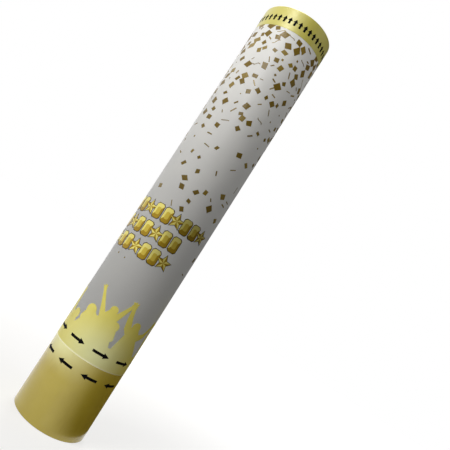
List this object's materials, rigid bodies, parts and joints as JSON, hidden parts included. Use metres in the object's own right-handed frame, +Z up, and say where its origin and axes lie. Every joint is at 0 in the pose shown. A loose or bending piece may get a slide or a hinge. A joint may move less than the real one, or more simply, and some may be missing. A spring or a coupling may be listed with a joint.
{
  "type": "confetti popper",
  "caption": "Hand-held confetti popper: a printed card tube that is twisted on its short base to release compressed air and fire foil confetti.",
  "frame": {"origin": "centre of the base's bottom rim, on the surface the popper stands on", "axes": "+Z up along the tube towards the muzzle, -Y towards the pictured front"},
  "size_m": [0.05, 0.05, 0.3],
  "materials": {
    "card": "matte",
    "label_gold": "satin",
    "label_print": "satin",
    "white_plastic": "satin",
    "slip_plastic": "satin",
    "steel": "satin",
    "aluminium": "satin",
    "rubber": "matte",
    "wad_board": "matte",
    "confetti_foil": "gloss",
    "lid_board": "satin"
  },
  "bodies": {
    "base": {"base_tube": "card", "base_label": "label_gold", "base_bush": "white_plastic", "thrust_washer": "slip_plastic", "base_plug": "white_plastic", "cam_sleeve": "white_plastic"},
    "barrel": {"barrel_tube": "card", "barrel_label": "label_print", "coupling_housing": "white_plastic", "snap_ring": "steel", "tank_shell": "aluminium", "tank_end_plate": "aluminium", "plate_seal": "rubber", "gland_seal": "rubber", "fill_valve": "rubber", "catch_cage": "white_plastic", "bumper_pad": "rubber", "valve_spring": "steel"},
    "valve": {"valve_rod": "steel", "cross_pin": "steel", "spring_washer": "steel", "valve_plug": "white_plastic", "plug_seal": "rubber"},
    "charge": {"pusher_wad": "wad_board", "confetti_charge": "confetti_foil"},
    "lid": {"muzzle_lid": "lid_board"}
  },
  "joints": [
    {"name": "barrel_twist", "type": "hinge", "parent": "base", "child": "barrel", "pos_m": [0, 0, 0.047], "axis": [0, 0, 1], "range_deg": [0, 120]},
    {"name": "valve_lift", "type": "slide", "parent": "barrel", "child": "valve", "axis": [0, 0, 1], "range_m": [0, 0.00501], "deforming": ["valve_spring"]},
    {"name": "charge_slide", "type": "slide", "parent": "barrel", "child": "charge", "axis": [0, 0, 1], "range_m": [0, 0.147]},
    {"name": "lid_lift", "type": "slide", "parent": "barrel", "child": "lid", "axis": [0, 0, 1], "range_m": [0, 0.147]}
  ],
  "couplings": [
    {"joint": "valve_lift", "follows": "barrel_twist", "m_per_rad": 0.0023873},
    {"joint": "lid_lift", "follows": "charge_slide", "ratio": 1}
  ]
}
